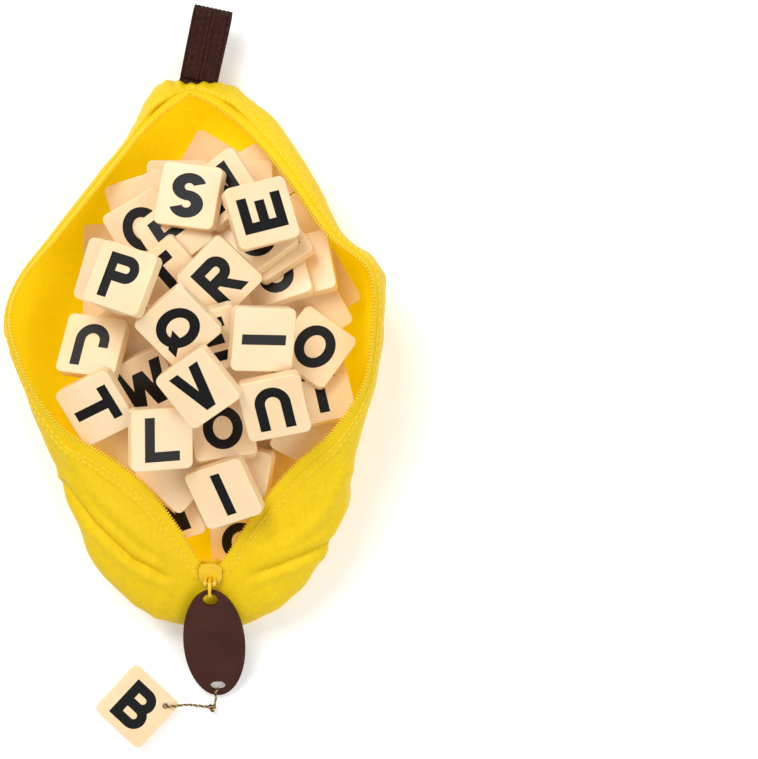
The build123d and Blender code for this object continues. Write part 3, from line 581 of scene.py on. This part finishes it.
# %% Tape and coil
def frames_along(path, up):
    """Two directions square to a path at each of its points, which turn no more than the path does."""
    ahead = np.gradient(path, axis=0)
    ahead /= np.linalg.norm(ahead, axis=1, keepdims=True)
    frames = []
    for direction in ahead:
        up = up - direction * np.dot(up, direction)
        up = up / np.linalg.norm(up)
        frames.append((up, np.cross(direction, up)))
    return frames


def ring(centre, one, two, radius, sides):
    """Points round a centre, in the plane of two directions."""
    angles = [2 * math.pi * s / sides for s in range(sides)]
    return [tuple(centre + radius * (math.cos(a) * one + math.sin(a) * two)) for a in angles]


def tube_faces(first, rings, sides):
    """The faces of a closed tube, whose rings of points follow each other from the first point."""
    faces = []
    for low in range(first, first + (rings - 1) * sides, sides):
        for s in range(sides):
            beside = (s + 1) % sides
            faces.append((low + s, low + beside, low + sides + beside, low + sides + s))
    last = first + (rings - 1) * sides
    return faces + [tuple(range(first, first + sides))[::-1], tuple(range(last, last + sides))]


def tube_mesh(name, path, radius, sides=6):
    """A round thread along close points."""
    vertices = []
    for point, (up, beside) in zip(path, frames_along(path, np.array([0.0, 0.0, 1.0]))):
        vertices += ring(point, up, beside, radius, sides)
    mesh = bpy.data.meshes.new(name)
    mesh.from_pydata(vertices, [], tube_faces(0, len(path), sides))
    recalculate(mesh)
    smooth(mesh, 80)
    return mesh


def even_points(line, others, spacing):
    """Points at one spacing along a line, with the other arrays read at the same places."""
    run = np.concatenate([[0], np.cumsum(np.linalg.norm(np.diff(line, axis=0), axis=1))])
    at = np.arange(0, run[-1], spacing)
    return [np.stack([np.interp(at, run, array[:, k]) for k in range(3)], 1) for array in [line, *others]]


coil_pitch = 0.00135
coil_reach = 0.00072
coil_thread = 0.00030
coil_oval = 1.25  # the coil is wider along the cloth than it is thick
points_per_turn = 10
tape_half_wall = 0.0003
tape_below_lip = (0.0062, 0.0012)
coil_below_lip = 0.0008
for side, ribs in sides.items():
    grid, normals = side_grid(ribs, lambda length: np.linspace(*(length - np.array(tape_below_lip)), 7))
    centre = grid + normals * (cloth / 2)
    wall = normals * tape_half_wall
    tape_mesh = shell_mesh(f"{side}_tape", centre - wall, centre + wall)
    tape = new_piece(f"{side}_tape", tape_mesh, tape_cloth, "pouch")
    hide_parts(f"{side}_zip_tape")
    grid, normals = side_grid(ribs, lambda length: length - coil_below_lip * np.array([2, 1, 0]))
    line = (grid[:, 1] + normals[:, 1] * cloth / 2)[1:]
    upward = (grid[:, 2] - grid[:, 0])[1:]
    points, inward, upward = even_points(line, [normals[1:, 1], upward], coil_pitch / points_per_turn)
    upward /= np.linalg.norm(upward, axis=1, keepdims=True)
    inward /= np.linalg.norm(inward, axis=1, keepdims=True)
    turn = (2 * math.pi / points_per_turn * np.arange(len(points)))[:, None]
    winding = coil_oval * np.cos(turn) * upward + np.sin(turn) * inward
    spiral = points + (coil_reach - coil_thread) * winding
    coil = new_piece(f"{side}_coil", tube_mesh(f"{side}_coil", spiral, coil_thread), coil_plastic, "pouch")
    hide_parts(f"{side}_zip_coil")
print("coil turns", len(points) // points_per_turn)


# %% Rows of stitches
stitch_length, stitch_gap, stitch_radius = 0.0022, 0.0007, 0.00026
stitch_rows = (fabric_rows - 2, fabric_rows - 5)
bead_vertices = 42


def add_stitches(work, points, inward):
    """Small beads of thread, end to end with gaps, half sunk into the cloth."""
    points, inward = even_points(points, [inward], stitch_length + stitch_gap)
    for here, after, depth in zip(points[:-1], points[1:], inward[:-1]):
        direction = Vector(after - here).normalized()
        place = Vector(here + (after - here) * 0.42) - Vector(depth).normalized() * stitch_radius * 0.35
        turn = direction.to_track_quat("X", "Z").to_matrix().to_4x4()
        size = Matrix.Diagonal((stitch_length / 2, stitch_radius, stitch_radius, 1))
        bmesh.ops.create_uvsphere(work, u_segments=8, v_segments=6, radius=1,
                                  matrix=Matrix.Translation(place) @ turn @ size)


for side in sides:
    normals, outer = grids[side][1:]
    mesh = bpy.data.meshes.new(f"{side}_stitches")
    work = bmesh.new()
    for row in stitch_rows:
        add_stitches(work, outer[:, row], normals[:, row])
    work.to_mesh(mesh)
    work.free()
    smooth(mesh, 80)
    stitches = new_piece(f"{side}_stitches", mesh, stitch_thread, "pouch")
    print(side, "stitches", len(mesh.vertices) // bead_vertices)


# %% [markdown]
# ## Webbing loop
# The loop is one strap folded back on itself. A bevelled curve could make it, but a grid of points also
# gives the UV map in metres that the weave needs. A drop-shaped line in its side view is given the strap's
# thickness, and the long ribs of the weave are real ridges, with the finer beat left to the material.

# %% The strap and its sewn tail
loop_lean = Matrix.Rotation(math.radians(-12), 4, "Z")
loop_base = Vector((-0.005618, 0.111779, 0.015))
strap_width, strap_wall = 0.0156, 0.0013
strap_length, end_radius, root_radius = 0.031, 0.0048, 0.00145
tail_long, tail_wall = 0.005, 0.0026
rib_count = 9
outer_groove, inner_groove, tail_groove = 0.00035, 0.0002, 0.0003


def drop_line(length, end_radius, root_radius, count=20):
    """The strap's line in its side view, from the back of its root, out and back: (distance, height)."""
    lean = math.asin((end_radius - root_radius) / (length - end_radius - root_radius))
    turn = math.pi / 2 + lean

    def arc(middle, radius, first, last, steps):
        angles = np.linspace(first, last, steps)
        return [(middle + radius * math.cos(a), radius * math.sin(a)) for a in angles]

    line = []
    for piece in (arc(root_radius, root_radius, math.pi, turn, 6),
                  arc(length - end_radius, end_radius, turn, -turn, 2 * count),
                  arc(root_radius, root_radius, -turn, -math.pi, 6)):
        if line:
            line += [tuple(np.array(line[-1]) * (1 - t) + np.array(piece[0]) * t) for t in
                     np.linspace(0, 1, count)[1:-1]]
        line += piece
    return np.array(line)


def rib_profile(x):
    """Height of the woven ribs across the strap, from 0 in a groove to 1 on a ridge."""
    return abs(math.sin(math.pi * rib_count * x / strap_width)) ** 0.6


outside = drop_line(strap_length, end_radius, root_radius)
inside = drop_line(strap_length - 2 * strap_wall, end_radius - strap_wall, root_radius - strap_wall)
inside += [strap_wall, 0]
across = np.linspace(-strap_width / 2, strap_width / 2, rib_count * 8 + 1)
groove = 1 - np.array([rib_profile(x) for x in across])
away = outside - inside
away /= np.linalg.norm(away, axis=1, keepdims=True)


def strap_face(line, depth):
    """A face of the strap: its side line carried across, with the grooves pressed in by a depth."""
    side_view = line[:, None] - away[:, None] * (depth * groove)[None, :, None]
    sideways = np.broadcast_to(across[None, :, None], (len(line), len(across), 1))
    return np.concatenate([sideways, side_view], axis=2)


strap_mesh = shell_mesh("webbing_strap", strap_face(outside, outer_groove), strap_face(inside, -inner_groove))
strap_mesh.transform(Matrix.Translation(loop_base) @ loop_lean)
strap = new_piece("webbing_strap", strap_mesh, webbing_cloth, "stem_loop")
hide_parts("stem_loop")

tail_low, tail_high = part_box("webbing_tail")
tail_place = Matrix.Translation((tail_low + tail_high) / 2) @ loop_lean
tail_rows = np.linspace(-tail_long / 2, tail_long / 2, 12)
heights = tail_wall / 2 - tail_groove * groove
tops = np.array([[(x, y, z) for x, z in zip(across, heights)] for y in tail_rows])
tail_mesh = shell_mesh("webbing_tail_strap", tops, tops * [1, 1, -1])
tail_mesh.transform(tail_place)
tail = new_piece("webbing_tail_strap", tail_mesh, webbing_cloth, "pouch")
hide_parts("webbing_tail")

# A thin flap of the tail reaches under the strap's round root, so that no floor shows between the two.
flap_rows = np.linspace(tail_long / 2 - 0.0004, tail_long / 2 + 0.0014, 4)
flap_tops = np.array([[(x, y, -root_radius - 0.0001) for x in across] for y in flap_rows])
flap_mesh = shell_mesh("tail_flap", flap_tops, flap_tops - [0, 0, 0.0004])
flap_mesh.transform(tail_place)
flap = new_piece("tail_flap", flap_mesh, webbing_cloth, "pouch")
print("strap", [round(v, 4) for v in strap.dimensions])

# %% [markdown]
# ## Cord
# The cord is two strands twisted together, one gold and one black. It follows the route of the CAD
# cord. A bevelled curve would be one plain tube, so a smooth curve is made first, and the strands wind
# round the points that the curve gives.

# %% The twisted cord and its knot
cord_route = [(0.00149, -0.14085, 0.00320), (0.00139, -0.14125, 0.00720), (0.00059, -0.14765, 0.00560),
              (-0.00081, -0.14925, 0.00070), (-0.00741, -0.14845, 0.00070), (-0.01181, -0.14745, 0.00590),
              (-0.01792, -0.14818, 0.00710), (-0.02012, -0.14798, 0.00560), (-0.02012, -0.14798, 0.00280)]
cord_radius = 0.0006


def smooth_route(points, resolution=24):
    """Points along a NURBS curve through the route, as Blender works them out."""
    curve = bpy.data.curves.new("route", "CURVE")
    curve.dimensions = "3D"
    spline = curve.splines.new("NURBS")
    spline.points.add(len(points) - 1)
    for target, point in zip(spline.points, points):
        target.co = (*point, 1)
    spline.order_u = 3
    spline.use_endpoint_u = True
    spline.resolution_u = resolution
    holder = bpy.data.objects.new("route", curve)
    mesh = bpy.data.meshes.new_from_object(holder)
    line = np.array([v.co for v in mesh.vertices])
    bpy.data.objects.remove(holder)
    bpy.data.curves.remove(curve)
    bpy.data.meshes.remove(mesh)
    return line


def twisted_mesh(name, path, reach, pitch, sides=8, per_turn=14):
    """Two round strands that wind round a path. The strands' faces get material 0 or 1."""
    path, = even_points(np.array(path), [], pitch / per_turn)
    frames = frames_along(path, np.array([0.3, 0.1, 1.0]))
    strand = reach * 0.56
    vertices, faces, slots = [], [], []
    for s in range(2):
        first = len(vertices)
        for k, (point, (one, two)) in enumerate(zip(path, frames)):
            twist = 2 * math.pi * k / per_turn + math.pi * s
            strand_middle = point + (reach - strand) * (math.cos(twist) * one + math.sin(twist) * two)
            vertices += ring(strand_middle, one, two, strand, sides)
        strand_faces = tube_faces(first, len(path), sides)
        faces += strand_faces
        slots += [s] * len(strand_faces)
    mesh = bpy.data.meshes.new(name)
    mesh.from_pydata(vertices, [], faces)
    mesh.polygons.foreach_set("material_index", slots)
    recalculate(mesh)
    smooth(mesh, 80)
    return mesh


gold_strand = make_material("gold_strand", from_srgb(176, 132, 58), from_srgb(214, 172, 92), "mottle", {},
                            0.4, 0.0001, 0.4, patches=900, grain=3000, Sheen_Weight=0.2)
black_strand = make_material("black_strand", from_srgb(26, 22, 20), from_srgb(44, 38, 34), "mottle", {},
                             0.4, 0.0001, 0.5, patches=900, grain=3000)
line = smooth_route(cord_route)
cord_mesh = twisted_mesh("twisted_cord", line, reach=cord_radius, pitch=0.0026)
cord = new_piece("twisted_cord", cord_mesh, gold_strand, "hanger")
cord.data.materials.append(black_strand)
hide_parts("tag_cord")
# An overhand knot at the fourth point of the route, just above the table. The radius is that of the ball
# which stands for the knot in the CAD model.
knot_radius = 0.0019
knot_centre = np.array(cord_route[3]) + [0, 0, knot_radius - cord_radius]
knot_wide, knot_high = 0.00125 * 0.62 / 1.7, 0.00125 * 0.8
knot_path = [knot_centre + [
    knot_wide * (math.sin(t) + 2 * math.sin(2 * t)), knot_wide * (math.cos(t) - 2 * math.cos(2 * t)),
    -knot_high * math.sin(3 * t)] for t in np.linspace(0, 2 * math.pi, 90)]
knot_mesh = twisted_mesh("cord_wraps", knot_path, reach=0.00055, pitch=0.0024)
knot = new_piece("cord_wraps", knot_mesh, gold_strand, "hanger")
knot.data.materials.append(black_strand)
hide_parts("cord_knot")

# %% [markdown]
# ## Tiles and hard fittings
# These are CAD pieces, so their shape is left alone and only their material changes. A letter is a
# pocket in the tile: its floor lies a little under the face, so those faces can be found by measuring
# each one's depth along the tile's own upward direction, and they get the black of the letter.

# %% Paint the tiles
def face_data(mesh):
    """Normals, areas and centres of a mesh's faces."""
    count = len(mesh.polygons)
    normals, areas, centres = np.zeros(count * 3), np.zeros(count), np.zeros(count * 3)
    mesh.polygons.foreach_get("normal", normals)
    mesh.polygons.foreach_get("area", areas)
    mesh.polygons.foreach_get("center", centres)
    return normals.reshape(-1, 3), areas, centres.reshape(-1, 3)


letter_depth = 0.0004
floor_slack, corner_slack = 0.00006, 0.00003  # what a depth may be off by
below_face, above_floor = 0.00005, 0.00002    # how far the middle of a pocket's wall keeps from its edges


def paint_letter(tile):
    """Give the faces of the letter's pocket the second material, and say how many there are."""
    mesh = tile.data
    normals, areas, centres = face_data(mesh)
    up = normals[np.argmax(areas)]
    facing, height = np.abs(normals @ up), centres @ up
    flat, upright = facing > 0.999, facing < 0.2
    corners = np.array([v.co for v in mesh.vertices]) @ up
    for top, sign in ((height[flat].max(), 1), (height[flat].min(), -1)):
        depth = (top - height) * sign
        floor = flat & (np.abs(depth - letter_depth) < floor_slack)
        if not floor.any():
            continue
        wall = upright & (depth > below_face) & (depth < letter_depth - above_floor)
        picked = 0
        for polygon in mesh.polygons:
            deepest = max((top - corners[v]) * sign for v in polygon.vertices)
            in_wall = wall[polygon.index] and deepest < letter_depth + corner_slack
            if floor[polygon.index] or in_wall:
                polygon.material_index = 1
                picked += 1
        return picked
    return 0


def dress(node, *materials):
    """A CAD node with new materials and smooth faces between its sharp edges."""
    piece = nodes[node]
    piece.data.materials.clear()
    for material in materials:
        piece.data.materials.append(material)
    smooth(piece.data, 30)
    return piece


tiles = sorted(n for n in nodes if n.startswith(("tile_", "lower_tiles", "face_down", "hang_tile")))
for name in tiles:
    tile = dress(name, tile_plastic, letter_ink)
    lettered = name.startswith(("tile_", "hang_tile"))
    count = paint_letter(tile) if lettered else 0
    if lettered and not count:
        print(name, "has no letter")
dress("pull_tag", tag_skin)
for name in ("slider_body", "slider_pin", "pull_link", "bottom_stop"):
    dress(name, enamel)
print("tiles dressed:", len(tiles))

# %% [markdown]
# ## Floor, light and camera
# About half of the light comes from white surroundings, as in a product studio. The rest comes from two
# soft lamps, a strong one at the upper left and a weak one at the lower right, which make the folds show.
# The camera looks straight down over the middle of the picture.

# %% Floor
floor_half, floor_drop = 3, -0.0002
floor_mesh = bpy.data.meshes.new("floor")
corners = [(x * floor_half, y * floor_half, floor_drop) for x, y in ((-1, -1), (1, -1), (1, 1), (-1, 1))]
floor_mesh.from_pydata(corners, [], [(0, 1, 2, 3)])
floor = bpy.data.objects.new("floor", floor_mesh)
bpy.context.scene.collection.objects.link(floor)
floor_material = bpy.data.materials.new("studio_floor")
floor_material.use_nodes = True
floor_shader = floor_material.node_tree.nodes["Principled BSDF"]
floor_shader.inputs["Base Color"].default_value = (0.96, 0.96, 0.96, 1)
floor_shader.inputs["Roughness"].default_value = 0.9
floor_shader.inputs["Emission Color"].default_value = (1, 1, 1, 1)
floor_shader.inputs["Emission Strength"].default_value = 0.19
floor_mesh.materials.append(floor_material)
print("floor", 2 * floor_half, "m wide")

# %% Lights and world
def area_light(name, place, target, size, power):
    """A square soft light that faces a point. Power in watts."""
    light = bpy.data.lights.new(name, "AREA")
    light.size = size
    light.energy = power
    holder = bpy.data.objects.new(name, light)
    bpy.context.scene.collection.objects.link(holder)
    holder.location = place
    holder.rotation_euler = (Vector(target) - Vector(place)).to_track_quat("-Z", "Y").to_euler()


area_light("upper_left", (-0.55, 0.9, 1.5), (0, 0, 0), 0.9, 18.5)
area_light("lower_right", (0.9, -0.6, 1.4), (0, 0, 0), 0.9, 8.0)
world = bpy.data.worlds.new("studio")
world.use_nodes = True
world.node_tree.nodes["Background"].inputs["Color"].default_value = (1, 1, 1, 1)
world.node_tree.nodes["Background"].inputs["Strength"].default_value = 0.54
bpy.context.scene.world = world
print("lamps:", len(bpy.data.lights))

# %% Camera
lens_data = bpy.data.cameras.new("camera")
lens_data.sensor_width = 36
lens_data.lens = 124.3
camera = bpy.data.objects.new("camera", lens_data)
bpy.context.scene.collection.objects.link(camera)
camera.location = (0.0691, -0.0117, 1.1)
bpy.context.scene.camera = camera
bpy.context.scene.view_settings.view_transform = "Standard"
print("camera", tuple(round(v, 3) for v in camera.location))

# %% Finish
bpy.context.view_layer.update()
